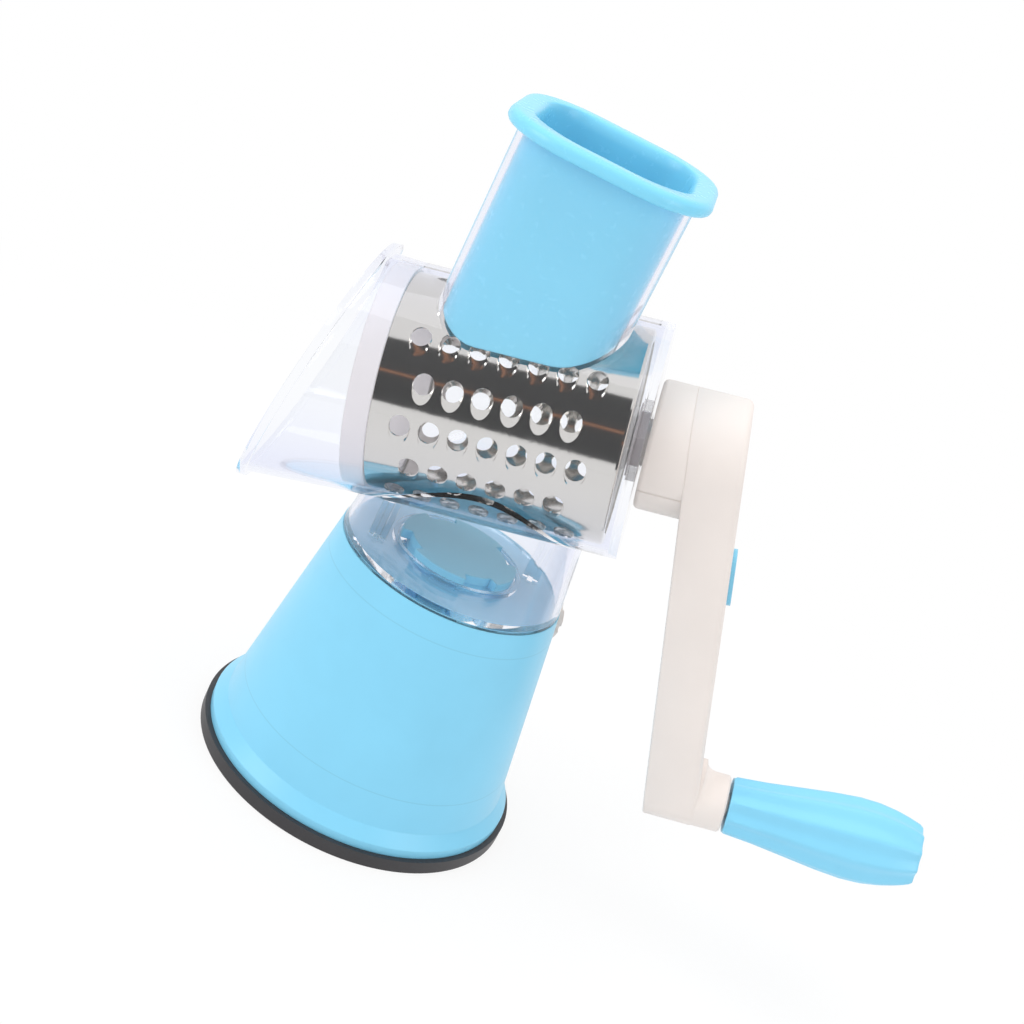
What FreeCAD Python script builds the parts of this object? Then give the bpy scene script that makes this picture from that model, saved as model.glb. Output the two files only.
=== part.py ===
"""Tabletop rotary drum shredder with a suction foot: one STEP file for each separate piece.

Millimetres, +Z up. The origin is the centre of the foot's resting face. +X points to the crank,
-Y is the side that the cook faces. The drum axis runs in the XZ plane and rises towards the crank.
"""
import math
import os

import FreeCAD
import Part

V = FreeCAD.Vector
ORIGIN = V(0, 0, 0)
AXIS_X = V(1, 0, 0)
AXIS_Y = V(0, 1, 0)
AXIS_Z = V(0, 0, 1)

# Fits between pieces
RUNNING_FIT = 0.08
FREE_GAP = 0.4
SLIDE_GAP = 0.45
OVERCUT = 1.0

# Suction foot
FOOT_RADIUS = 60.0
FOOT_RING_HEIGHT = 4.85
FOOT_FLOOR_RADIUS = 50.0
FOOT_CENTRE_RADIUS = 12.0
FOOT_RECESS = 1.6
FOOT_BOSS_RADIUS = 12.0
FOOT_BOSS_TOP = 17.0
STEM_FOOT_Z = 8.4
STEM_FOOT_RADIUS = 9.0
STEM_FOOT_THICKNESS = 3.0
STEM_WIDTH = 8.0
STEM_LIFT = 3.0

# Conical base shell
SHELL_LIP_RADIUS = 58.0
SHELL_LIP_TOP = 8.0
SHELL_FOOT_RADIUS = 54.2
SHELL_FOOT_Z = 12.5
SHELL_TOP_RADIUS = 41.6
SHELL_TOP_Z = 90.0
SHELL_WALL = 2.4
RIB_COUNT = 6
RIB_THICKNESS = 1.8
RIB_DEPTH = 5.0
RIB_HEIGHT = 26.0
CAVITY_SIDES = 24

# Twist lock between the base and the head
LOCK_NECK_RADIUS = 17.5
LOCK_DISC_RADIUS = 21.4
LOCK_DISC_TOP = 96.4
LOCK_DISC_THICKNESS = 3.4
LOCK_COUNT = 4
LOCK_NOTCH_ANGLE = 34.0
LOCK_LUG_ANGLE = 26.0
LOCK_TURN = 35.0
LOCK_FLOOR_GAP = 0.3
LOCK_FLOOR_THICKNESS = 2.2
LOCK_RING_GAP = 0.9
LOCK_LIP = 1.8

# Suction cam and knob
CAM_Z = 71.0
KNOB_BEARING = 45.0
CAM_SHAFT_RADIUS = 4.0
CAM_LOW = 6.0
CAM_THICKNESS = 5.0
CAM_GAP = 0.2
CAM_STEPS = 24
YOKE_HALF_WIDTH = 12.4
YOKE_BAR = 3.0
KNOB_RADIUS = 11.0
KNOB_FACE = 54.0
KNOB_SEAT = 46.8
KNOB_GAP = 0.3
KNOB_SEAT_BORDER = 1.4
KNOB_SCREW_HEAD = 2.8
KNOB_SCREW_DEPTH = 3.0
SHAFT_FLAT = 1.2
KNOB_GRIPS = 8
KNOB_GRIP_RADIUS = 1.8
KNOB_SCREW_RADIUS = 1.5
GUIDE_PLATE_Z = 46.5
GUIDE_PLATE_THICKNESS = 3.5
GUIDE_RADIUS = 30.5
GUIDE_BOSS_PITCH = 26.0
GUIDE_BOSS_WIDTH = 7.2
GUIDE_SCREW_RADIUS = 1.5
GUIDE_BORE_DEPTH = 14.0
GUIDE_SLEEVE_WALL = 2.6
GUIDE_SLEEVE_DROP = 8.0
GUIDE_WALL = 4.0
GUIDE_WALL_OFFSET = 11.0
GUIDE_WALL_WIDTH = 16.0
GUIDE_WALL_FOOT = 26.0
GUIDE_WALL_FOOT_HEIGHT = 6.0
GUIDE_WALL_OVER_CAM = 8.0
GUIDE_SCREW_HEAD = 3.0
GUIDE_SCREW_HEAD_HEIGHT = 2.0

# Drum axis
TILT = 13.6
AXIS_HEIGHT = 152.2

# Grating drum
DRUM_RADIUS = 37.0
DRUM_SHEET = 0.6
DRUM_LEFT = -45.9
DRUM_RIGHT = 34.9
DRUM_RING_LEFT = -53.9
DRUM_RING_RADIUS = 37.7
DRUM_RING_WALL = 4.2
DRUM_RING_LIP = 6.0
HOLE_ROWS = 16
HOLE_RADIUS = 3.4
HOLE_PITCH = 9.6
HOLE_FIRST = -35.6
HOLES_LONG_ROW = 7
FIRST_ROW_ANGLE = -4.0
TOOTH_HEIGHT = 0.8
TOOTH_LENGTH = 7.4
TOOTH_EDGE = 2.4
TOOTH_HALF_WIDTH = 3.2
TOOTH_CREST_HALF = 1.8
HOLE_SIDES = 8
DRUM_END_RIM = 4.0
HUB_SOCKET_RADIUS = 11.0
HUB_SOCKET_LENGTH = 15.0
HUB_DISC = 3.0
HUB_RIBS = 6
HUB_RIB_HEIGHT = 4.0
HUB_RIB_WIDTH = 1.8
HUB_SOCKET_PROUD = 1.4
HUB_SOCKET_FLOOR = 2.0

# Clear head
HEAD_WALL = 2.0
TUBE_RADIUS = 40.4
OUTLET_RADIUS = 43.4
TUBE_RIGHT = 40.6
END_WALL = 3.0
OUTLET_FAR = -100.0
OUTLET_CUT_AT_AXIS = -74.8
OUTLET_CUT_LEAN = 0.405
RIM_BEAD_RADIUS = 44.2
RIM_WIDTH = 3.0
COLLAR_RADIUS = 41.4
COLLAR_TOP_RADIUS = 34.6
COLLAR_TOP_Z = 138.0
POST_PLACE = (27.0, 13.0)
POST_WIDTH = 6.0
POST_WEB = 2.0
POST_SINK = 2.8
BUSH_RADIUS = 10.0
BUSH_BORE = 8.0
BUSH_FLANGE = 12.5
BUSH_FLANGE_THICKNESS = 1.4

# Feed chute and pusher
CHUTE_X = -12.0
CHUTE_HALF_X = 30.1
CHUTE_HALF_Y = 31.4
CHUTE_CORNER = 18.0
CHUTE_TOP = 239.7
PUSHER_WALL = 2.0
PUSHER_RIM_X = 34.9
PUSHER_RIM_Y = 36.2
PUSHER_RIM_CORNER = 24.0
PUSHER_RIM_HEIGHT = 4.85
PUSHER_RIM_ROUND = 1.5
PUSHER_MOUTH_ROUND = 2.0
PUSHER_FLOOR = 2.6
PUSHER_DRUM_GAP = 2.2
EDGE_FLAT = 0.01

# Crank
HUB_RADIUS = 22.2
HUB_START = 41.4
ARM_LENGTH = 125.5
ARM_END_RADIUS = 10.6
ARM_INNER_AT_HUB = 55.3
ARM_OUTER_AT_HUB = 74.4
ARM_LEAN = 0.12
ARM_WALL = 2.4
BACK_PLATE = 2.4
STUB_RADIUS = 10.4
STUB_END = 99.2
SHAFT_SQUARE = 12.0
HUB_SCREW_RADIUS = 2.5
SHAFT_SEAT = 7.0
SHAFT_GAP = 1.0
HUB_CUP_WALL = 5.0
HUB_CUP_FLOOR = 2.4
HUB_POST_RADIUS = 11.0
HUB_POST_END = 57.0
HUB_SCREW_GRIP = 6.0
HUB_SCREW_END = 70.4
COVER_GAP = 0.1
SCREW_POST_RADIUS = 6.0
ARM_POST_RADIUS = 3.4
ARM_POSTS = (70.0, 100.0)
STUB_ROOM = 8.0
PARTING_LENGTH = 30.0
PARTING_DEPTH = 3.0
PARTING_WIDTH = 0.5
PARTING_ANGLE = 27.0
SPINDLE_RADIUS = 4.0
SPINDLE_START = 84.0
SPINDLE_BEYOND_BELLY = 8.0
SPINDLE_HEAD_RADIUS = 6.5
SPINDLE_HEAD = 3.0
GRIP_START = 100.3
GRIP_NECK_RADIUS = 10.3
GRIP_BELLY_RADIUS = 15.2
GRIP_BELLY_AT = 146.0
GRIP_END = 167.2
GRIP_OUTLINE = ((135.0, 14.3), (GRIP_BELLY_AT, GRIP_BELLY_RADIUS), (154.5, 14.4), (GRIP_END, 10.8))
CAP_HEIGHT = 1.6
CAP_RADIUS = 10.4
CAP_PLUG = 4.0
GRIP_FLUTES = 10
GRIP_FLUTE_RADIUS = 3.4
GRIP_FLUTE_DEPTH = 0.9
BUTTON_AT = 39.5
BUTTON_HALF_LENGTH = 10.0
BUTTON_HALF_WIDTH = 7.0
BUTTON_PROUD = 1.5
BUTTON_THICKNESS = 4.0
BUTTON_PIN_RADIUS = 1.8
BUTTON_PIN_LENGTH = 2.5
SPRING_RADIUS = 3.2
SPRING_WIRE = 0.35
SPRING_TURNS = 4
SPRING_STEPS = 8
SPRING_GAP = 0.1


def revolved(points, start=ORIGIN, direction=AXIS_Z):
    """A solid of revolution: points are (radius, height) along the direction."""
    corners = [V(r, 0, h) for r, h in points]
    wire = Part.makePolygon(corners + [corners[0]])
    solid = Part.Face(wire).revolve(ORIGIN, AXIS_Z, 360)
    turn = FreeCAD.Rotation(AXIS_Z, direction)
    solid.Placement = FreeCAD.Placement(start, turn)
    return solid


def cylinder(radius, low, high, direction=AXIS_Z, start=ORIGIN):
    """A cylinder between two distances along a direction."""
    return Part.makeCylinder(radius, high - low, start + direction * low, direction)


def on_drum_axis(shape):
    """Moves a shape drawn with X along the drum axis into the object's frame."""
    place = FreeCAD.Placement(V(0, 0, AXIS_HEIGHT), FreeCAD.Rotation(AXIS_Y, -TILT))
    moved = shape.copy()
    moved.Placement = place.multiply(shape.Placement)
    return moved


def turned(shape, angle, axis=AXIS_Z, centre=ORIGIN):
    """A copy of a shape turned about an axis."""
    copy = shape.copy()
    copy.rotate(centre, axis, angle)
    return copy


def ring_of(shape, count, axis=AXIS_Z, first=0.0):
    """Copies of a shape spaced evenly about an axis."""
    return [turned(shape, first + 360.0 * k / count, axis) for k in range(count)]


def joined(shapes):
    """One clean solid from shapes that touch or overlap."""
    return shapes[0].multiFuse(shapes[1:]).removeSplitter()


def rounded_frame(half_x, half_y, corner, z, centre_x=0.0):
    """A horizontal rounded rectangle as a closed wire."""
    edges = []
    inner_x = half_x - corner
    inner_y = half_y - corner
    centres = ((inner_x, inner_y, 0), (-inner_x, inner_y, 90), (-inner_x, -inner_y, 180),
               (inner_x, -inner_y, 270))
    arcs = []
    for cx, cy, begin in centres:
        points = []
        for step in (0, 45, 90):
            angle = math.radians(begin + step)
            out = V(corner * math.cos(angle), corner * math.sin(angle), z)
            points.append(out + V(centre_x + cx, cy, 0))
        arcs.append(points)
    for index, points in enumerate(arcs):
        edges.append(Part.Arc(*points).toShape())
        following = arcs[(index + 1) % len(arcs)][0]
        edges.append(Part.makeLine(points[2], following))
    return Part.Wire(edges)


def shell_radius(z):
    """Outer radius of the conical base shell at a height."""
    share = (z - SHELL_FOOT_Z) / (SHELL_TOP_Z - SHELL_FOOT_Z)
    return SHELL_FOOT_RADIUS + share * (SHELL_TOP_RADIUS - SHELL_FOOT_RADIUS)


def bar(shape_sides, radius, low, high, direction=AXIS_Z, start=ORIGIN):
    """A regular bar between two distances along a direction; the radius goes to its corners."""
    points = []
    for k in range(shape_sides + 1):
        angle = 2.0 * math.pi * (k + 0.5) / shape_sides
        points.append(V(radius * math.cos(angle), radius * math.sin(angle), low))
    solid = Part.Face(Part.makePolygon(points)).extrude(AXIS_Z * (high - low))
    solid.Placement = FreeCAD.Placement(start, FreeCAD.Rotation(AXIS_Z, direction))
    return solid


def flat_cone(sides, radius_low, radius_high, low, high):
    """A tapered form with flat sides along Z; the radii go to its corners."""
    rings = []
    for radius, height in ((radius_low, low), (radius_high, high)):
        ring = []
        for k in range(sides):
            angle = 2.0 * math.pi * k / sides
            ring.append(V(radius * math.cos(angle), radius * math.sin(angle), height))
        rings.append(ring)
    faces = [Part.Face(Part.makePolygon(ring + [ring[0]])) for ring in rings]
    for k in range(sides):
        following = (k + 1) % sides
        side = [rings[0][k], rings[0][following], rings[1][following], rings[1][k], rings[0][k]]
        faces.append(Part.Face(Part.makePolygon(side)))
    return Part.Solid(Part.Shell(faces))


def square_bar(width, low, high):
    """A square bar on the drum axis."""
    return Part.makeBox(high - low, width, width, V(low, -width / 2, -width / 2))


def upright_bar(width, low, high):
    """A square bar along Z that stands in line with the knob's shaft."""
    upright = Part.makeBox(width, width, high - low, V(-width / 2, -width / 2, low))
    return turned(upright, KNOB_BEARING)


KNOB_AXIS = V(math.cos(math.radians(KNOB_BEARING)), math.sin(math.radians(KNOB_BEARING)), 0)
CAM_CENTRE = V(0, 0, CAM_Z)


def suction_pad():
    """Black rubber foot: sealing ring, recessed skin, flat centre and a pocketed boss for the stem."""
    pocket = STEM_FOOT_RADIUS + FREE_GAP
    pocket_top = STEM_FOOT_Z + STEM_FOOT_THICKNESS + STEM_LIFT + FREE_GAP
    pad = revolved([
        (0, 0), (FOOT_CENTRE_RADIUS, 0), (FOOT_CENTRE_RADIUS, FOOT_RECESS),
        (FOOT_FLOOR_RADIUS, FOOT_RECESS), (FOOT_FLOOR_RADIUS, 0), (FOOT_RADIUS, 0),
        (FOOT_RADIUS, FOOT_RING_HEIGHT),
        (FOOT_BOSS_RADIUS, FOOT_RING_HEIGHT), (FOOT_BOSS_RADIUS, FOOT_BOSS_TOP), (0, FOOT_BOSS_TOP),
        (0, pocket_top), (pocket, pocket_top), (pocket, STEM_FOOT_Z), (0, STEM_FOOT_Z)])
    return pad.cut(upright_bar(STEM_WIDTH + 2 * FREE_GAP, pocket_top - OVERCUT, FOOT_BOSS_TOP + OVERCUT))


def base_shell():
    """Blue conical shell with its foot lip, lock disc, screw bosses, ribs and knob seat."""
    inner_top = SHELL_TOP_Z - SHELL_WALL
    disc_low = LOCK_DISC_TOP - LOCK_DISC_THICKNESS
    outside = revolved([
        (0, FOOT_RING_HEIGHT), (SHELL_LIP_RADIUS, FOOT_RING_HEIGHT), (SHELL_LIP_RADIUS, SHELL_LIP_TOP),
        (SHELL_FOOT_RADIUS, SHELL_FOOT_Z), (SHELL_TOP_RADIUS, SHELL_TOP_Z), (LOCK_NECK_RADIUS, SHELL_TOP_Z),
        (LOCK_NECK_RADIUS, disc_low), (LOCK_DISC_RADIUS, disc_low), (LOCK_DISC_RADIUS, LOCK_DISC_TOP),
        (0, LOCK_DISC_TOP)])
    seat_low = shell_radius(SHELL_TOP_Z) - 2 * SHELL_WALL
    seat = cylinder(KNOB_RADIUS + KNOB_SEAT_BORDER, seat_low, KNOB_SEAT, KNOB_AXIS, CAM_CENTRE)
    cavity_foot = shell_radius(FOOT_RING_HEIGHT) - SHELL_WALL
    cavity_head = shell_radius(inner_top) - SHELL_WALL
    cavity = flat_cone(CAVITY_SIDES, cavity_foot, cavity_head, FOOT_RING_HEIGHT, inner_top)
    body = joined([outside, seat]).cut(cavity)

    bosses = []
    boss_low = GUIDE_PLATE_Z + GUIDE_PLATE_THICKNESS
    for place in guide_boss_places():
        boss = Part.makeBox(GUIDE_BOSS_WIDTH, GUIDE_BOSS_WIDTH, inner_top + OVERCUT - boss_low)
        boss.translate(place + V(-GUIDE_BOSS_WIDTH / 2, -GUIDE_BOSS_WIDTH / 2, boss_low))
        bore = bar(6, GUIDE_SCREW_RADIUS, GUIDE_PLATE_Z, GUIDE_PLATE_Z + GUIDE_BORE_DEPTH, AXIS_Z, place)
        bosses.append(boss.cut(bore))

    rib_low = SHELL_FOOT_Z + RIB_THICKNESS
    rib_high = rib_low + RIB_HEIGHT
    low_wall = shell_radius(rib_low) - SHELL_WALL
    high_wall = shell_radius(rib_high) - SHELL_WALL
    corners = [V(low_wall - RIB_DEPTH, 0, rib_low), V(low_wall + OVERCUT, 0, rib_low),
               V(high_wall + OVERCUT, 0, rib_high), V(high_wall - OVERCUT, 0, rib_high)]
    rib = Part.Face(Part.makePolygon(corners + [corners[0]])).extrude(AXIS_Y * RIB_THICKNESS)
    rib.translate(AXIS_Y * (-RIB_THICKNESS / 2))
    body = joined([body] + bosses + ring_of(rib, RIB_COUNT, AXIS_Z, 30.0))

    hole_low = seat_low - 2 * SHELL_WALL
    shaft_hole = cylinder(CAM_SHAFT_RADIUS + RUNNING_FIT, hole_low, KNOB_SEAT + OVERCUT, KNOB_AXIS, CAM_CENTRE)
    notch_start = V(0, 0, disc_low)
    notch_reach = LOCK_DISC_RADIUS + OVERCUT
    notch = Part.makeCylinder(notch_reach, LOCK_DISC_THICKNESS, notch_start, AXIS_Z, LOCK_NOTCH_ANGLE)
    notch = notch.cut(cylinder(LOCK_NECK_RADIUS + FREE_GAP, disc_low, LOCK_DISC_TOP))
    notches = ring_of(notch, LOCK_COUNT, AXIS_Z, LOCK_TURN - LOCK_NOTCH_ANGLE / 2)
    return body.cut(shaft_hole).cut(Part.makeCompound(notches))


def guide_boss_places():
    """Where the four bosses and screws of the stem guide stand."""
    return [turned(Part.Vertex(GUIDE_BOSS_PITCH, 0, 0), 90.0 * k).Point for k in range(4)]


def cam_outline(radius_low, rise):
    """A heart-shaped cam: its radius grows evenly over half a turn each way from the low point."""
    points = []
    for k in range(CAM_STEPS + 1):
        angle = math.pi * (2.0 * k / CAM_STEPS - 1.0)
        radius = radius_low + rise * abs(angle) / math.pi
        points.append(V(radius * math.sin(angle), 0, radius * math.cos(angle)))
    return points


def cam_shaft():
    """Steel shaft with the heart-shaped cam that lifts the stem, and flats for the knob."""
    points = cam_outline(CAM_LOW, STEM_LIFT)
    cam = Part.Face(Part.makePolygon(points)).extrude(AXIS_Y * CAM_THICKNESS)
    cam.translate(AXIS_Y * (-CAM_THICKNESS / 2))
    cam.rotate(ORIGIN, AXIS_Z, KNOB_BEARING - 90.0)
    cam.translate(CAM_CENTRE)
    reach = GUIDE_WALL_OFFSET + GUIDE_WALL + 1.5
    return joined([cam, flatted_shaft(-reach, KNOB_FACE - KNOB_SCREW_DEPTH)])


def flatted_shaft(low, high):
    """The knob's shaft, which has a flat where the knob sits."""
    shaft = cylinder(CAM_SHAFT_RADIUS, low, high)
    size = 4 * CAM_SHAFT_RADIUS
    flat = Part.makeBox(size, size, size, V(CAM_SHAFT_RADIUS - SHAFT_FLAT, -size / 2, KNOB_SEAT + KNOB_GAP))
    shaft = shaft.cut(flat)
    shaft.Placement = FreeCAD.Placement(CAM_CENTRE, FreeCAD.Rotation(AXIS_Z, KNOB_AXIS))
    return shaft


def suction_knob():
    """Round off-white knob with finger grips on its rim, on the shaft's flat."""
    start = KNOB_SEAT + KNOB_GAP
    body = cylinder(KNOB_RADIUS, start, KNOB_FACE, KNOB_AXIS, CAM_CENTRE)
    grip_at = V(0, KNOB_RADIUS + KNOB_GRIP_RADIUS / 2, 0)
    grip = bar(8, KNOB_GRIP_RADIUS, start - OVERCUT, KNOB_FACE + OVERCUT, AXIS_X, grip_at)
    grips = Part.makeCompound(ring_of(grip, KNOB_GRIPS, AXIS_X))
    grips.Placement = FreeCAD.Placement(CAM_CENTRE, FreeCAD.Rotation(AXIS_X, KNOB_AXIS))
    body = body.cut(grips).cut(flatted_shaft(0.0, KNOB_FACE - KNOB_SCREW_DEPTH))
    bore_low = KNOB_FACE - KNOB_SCREW_DEPTH - OVERCUT
    return body.cut(bar(6, KNOB_SCREW_RADIUS, bore_low, KNOB_FACE + OVERCUT, KNOB_AXIS, CAM_CENTRE))


def knob_screw():
    """Small steel screw that holds the knob on its shaft."""
    face = KNOB_FACE
    thread = bar(6, KNOB_SCREW_RADIUS, face - KNOB_SCREW_DEPTH, face, KNOB_AXIS, CAM_CENTRE)
    return joined([thread, bar(6, KNOB_SCREW_HEAD, face, face + KNOB_SCREW_HEAD / 2, KNOB_AXIS, CAM_CENTRE)])


def suction_stem():
    """Pull stem: foot in the rubber boss, square rod and the yoke that the cam works in."""
    top_of_window = CAM_LOW + CAM_GAP
    low_of_window = CAM_LOW + STEM_LIFT + 2 * CAM_GAP
    yoke_low = CAM_Z - low_of_window - YOKE_BAR
    yoke_high = CAM_Z + top_of_window + YOKE_BAR
    foot = cylinder(STEM_FOOT_RADIUS, STEM_FOOT_Z, STEM_FOOT_Z + STEM_FOOT_THICKNESS)
    rod = upright_bar(STEM_WIDTH, STEM_FOOT_Z, yoke_low + OVERCUT)
    depth = CAM_THICKNESS + 1.0
    corner = V(-YOKE_HALF_WIDTH, -depth / 2, yoke_low)
    frame = Part.makeBox(2 * YOKE_HALF_WIDTH, depth, yoke_high - yoke_low, corner)
    half = YOKE_HALF_WIDTH - YOKE_BAR
    corner = V(-half, -depth / 2 - OVERCUT, CAM_Z - low_of_window)
    window = Part.makeBox(2 * half, depth + 2 * OVERCUT, low_of_window + top_of_window, corner)
    frame = frame.cut(window)
    frame.rotate(ORIGIN, AXIS_Z, KNOB_BEARING - 90.0)
    return joined([foot, rod, frame])


def stem_guide():
    """Plastic carrier under the base top: guides the stem and holds the cam shaft in two walls."""
    low = GUIDE_PLATE_Z
    high = low + GUIDE_PLATE_THICKNESS
    plate = Part.makeBox(2 * GUIDE_RADIUS, 2 * GUIDE_RADIUS, high - low, V(-GUIDE_RADIUS, -GUIDE_RADIUS, low))
    sleeve = upright_bar(STEM_WIDTH + 2 * GUIDE_SLEEVE_WALL, low - GUIDE_SLEEVE_DROP, high)
    walls = []
    for side in (-1, 1):
        near = side * GUIDE_WALL_OFFSET - GUIDE_WALL / 2
        wall_height = CAM_Z + GUIDE_WALL_OVER_CAM - high + OVERCUT
        for width, height in ((GUIDE_WALL_WIDTH, wall_height), (GUIDE_WALL_FOOT, GUIDE_WALL_FOOT_HEIGHT)):
            walls.append(Part.makeBox(GUIDE_WALL, width, height, V(near, -width / 2, high - OVERCUT)))
    walls = [turned(wall, KNOB_BEARING) for wall in walls]
    body = joined([plate, sleeve] + walls)
    body = body.cut(upright_bar(STEM_WIDTH + 2 * RUNNING_FIT, low - 2 * GUIDE_SLEEVE_DROP, high + OVERCUT))
    reach = 2 * GUIDE_WALL_OFFSET
    body = body.cut(cylinder(CAM_SHAFT_RADIUS + RUNNING_FIT, -reach, reach, KNOB_AXIS, CAM_CENTRE))
    hole = (6, GUIDE_SCREW_RADIUS, low - OVERCUT, high + OVERCUT, AXIS_Z)
    holes = [bar(*hole, place) for place in guide_boss_places()]
    return body.cut(Part.makeCompound(holes))


def guide_screws():
    """Four equal screws that hold the stem guide to the shell's bosses."""
    screws = []
    seat = GUIDE_PLATE_Z
    tip = seat + GUIDE_BORE_DEPTH - 1.0
    for place in guide_boss_places():
        thread = bar(6, GUIDE_SCREW_RADIUS, seat, tip, AXIS_Z, place)
        cap = bar(6, GUIDE_SCREW_HEAD, seat - GUIDE_SCREW_HEAD_HEIGHT, seat, AXIS_Z, place)
        screws.append(joined([thread, cap]))
    return Part.makeCompound(screws)


def tube_solid(inset, low, high):
    """The head's round body on the drum axis: straight round the drum, flared towards the outlet."""
    flare = OUTLET_RADIUS - TUBE_RADIUS
    narrow = TUBE_RADIUS - inset
    wide = narrow + flare * (DRUM_LEFT - low) / (DRUM_LEFT - OUTLET_FAR)
    cone = Part.makeCone(wide, narrow, DRUM_LEFT - low, V(low, 0, 0), AXIS_X)
    return cone.fuse(cylinder(narrow, DRUM_LEFT, high, AXIS_X))


def outlet_side(offset):
    """Everything on the open side of the slanted outlet plane, moved in by an offset."""
    reach = 2 * TUBE_RADIUS
    top = OUTLET_CUT_AT_AXIS + offset + OUTLET_CUT_LEAN * reach
    bottom = OUTLET_CUT_AT_AXIS + offset - OUTLET_CUT_LEAN * reach
    far = OUTLET_FAR - reach
    corners = [V(far, -reach, reach), V(top, -reach, reach), V(bottom, -reach, -reach), V(far, -reach, -reach)]
    return Part.Face(Part.makePolygon(corners + [corners[0]])).extrude(AXIS_Y * (2 * reach))


def chute_solid(inset, low, high):
    """The feed chute's rounded prism."""
    frame = rounded_frame(CHUTE_HALF_X - inset, CHUTE_HALF_Y - inset, CHUTE_CORNER - inset, low, CHUTE_X)
    return Part.Face(frame).extrude(AXIS_Z * (high - low))


def head():
    """Clear one-piece head: collar with its lock ring, inclined tube, slanted outlet and feed chute."""
    foot = V(0, 0, SHELL_TOP_Z)
    rise = COLLAR_TOP_Z - SHELL_TOP_Z
    collar_outer = Part.makeCone(COLLAR_RADIUS, COLLAR_TOP_RADIUS, rise, foot)
    collar_inner = Part.makeCone(COLLAR_RADIUS - HEAD_WALL, COLLAR_TOP_RADIUS - HEAD_WALL, rise, foot)
    tube = tube_solid(0.0, OUTLET_FAR, TUBE_RIGHT).cut(outlet_side(0.0))
    bead = cylinder(RIM_BEAD_RADIUS, OUTLET_FAR, 0.0, AXIS_X)
    bead = bead.common(outlet_side(RIM_WIDTH)).cut(outlet_side(0.0))
    tube = on_drum_axis(tube.fuse(bead))
    chute = chute_solid(0.0, AXIS_HEIGHT, CHUTE_TOP)
    body = joined([collar_outer.cut(collar_inner), tube, chute])

    floor_low = SHELL_TOP_Z + LOCK_FLOOR_GAP
    floor_high = floor_low + LOCK_FLOOR_THICKNESS
    opening = LOCK_DISC_RADIUS + LOCK_RING_GAP
    ring = cylinder(COLLAR_RADIUS - HEAD_WALL / 2, floor_low, floor_high)
    ring = ring.cut(cylinder(opening, floor_low, floor_high))
    lug_reach = opening + LOCK_RING_GAP
    lug = Part.makeCylinder(lug_reach, LOCK_FLOOR_THICKNESS, V(0, 0, floor_low), AXIS_Z, LOCK_LUG_ANGLE)
    lug = lug.cut(cylinder(LOCK_NECK_RADIUS + LOCK_RING_GAP, floor_low, floor_high))
    lugs = ring_of(lug, LOCK_COUNT, AXIS_Z, -LOCK_LUG_ANGLE / 2)
    lip = cylinder(opening + LOCK_LIP, floor_low, floor_high + LOCK_LIP)
    extras = [ring, lip.cut(cylinder(opening, floor_low, floor_high + LOCK_LIP))] + lugs
    for side in (-1, 1):
        x = side * POST_PLACE[0]
        y = side * POST_PLACE[1]
        top = AXIS_HEIGHT + x * math.tan(math.radians(TILT)) - TUBE_RADIUS + POST_SINK
        for size_x, size_y in ((POST_WIDTH, POST_WEB), (POST_WEB, POST_WIDTH)):
            corner = V(x - size_x / 2, y - size_y / 2, floor_low)
            extras.append(Part.makeBox(size_x, size_y, top - floor_low, corner))
    body = joined([body] + extras)

    inner_face = TUBE_RIGHT - END_WALL
    bore = on_drum_axis(tube_solid(HEAD_WALL, OUTLET_FAR - OVERCUT, inner_face))
    shaft_bore = on_drum_axis(bar(8, BUSH_RADIUS, inner_face - OVERCUT, TUBE_RIGHT + OVERCUT, AXIS_X))
    throat = chute_solid(HEAD_WALL, AXIS_HEIGHT, CHUTE_TOP)
    return body.cut(bore).cut(shaft_bore).cut(throat)


def shaft_bush():
    """White plastic bush snapped into the head's end wall, the bearing of the drive shaft."""
    inner_face = TUBE_RIGHT - END_WALL
    flange_low = inner_face - BUSH_FLANGE_THICKNESS
    flange = bar(8, BUSH_FLANGE, flange_low, inner_face, AXIS_X)
    body = joined([flange, bar(8, BUSH_RADIUS, flange_low, TUBE_RIGHT, AXIS_X)])
    bore = cylinder(BUSH_BORE + RUNNING_FIT, flange_low - OVERCUT, TUBE_RIGHT + OVERCUT, AXIS_X)
    return on_drum_axis(body.cut(bore))


def flat_sided(radius, sides, low, high, half_turn=0.0):
    """A prism along the drum axis whose flats stand at a radius."""
    corner = radius / math.cos(math.pi / sides)
    points = []
    for k in range(sides + 1):
        angle = math.radians(half_turn) + 2.0 * math.pi * (k + 0.5) / sides
        points.append(V(low, -corner * math.cos(angle), corner * math.sin(angle)))
    return Part.Face(Part.makePolygon(points)).extrude(AXIS_X * (high - low))


def tooth_lip():
    """The raised cutting lip below a hole: a low pyramid that ends on the sheet."""
    back = -TOOTH_EDGE
    floor = -(DRUM_RADIUS - DRUM_SHEET / 2)
    crest = -(DRUM_RADIUS + TOOTH_HEIGHT)
    left = V(-TOOTH_HALF_WIDTH, floor, back)
    right = V(TOOTH_HALF_WIDTH, floor, back)
    left_crest = V(-TOOTH_CREST_HALF, crest, back)
    right_crest = V(TOOTH_CREST_HALF, crest, back)
    tip = V(0, floor, -TOOTH_LENGTH)
    faces = []
    sides = ((left, right, right_crest, left_crest), (left, left_crest, tip), (right_crest, right, tip),
             (left_crest, right_crest, tip), (right, left, tip))
    for corners in sides:
        faces.append(Part.Face(Part.makePolygon(list(corners) + [corners[0]])))
    return Part.Solid(Part.Shell(faces))


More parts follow.
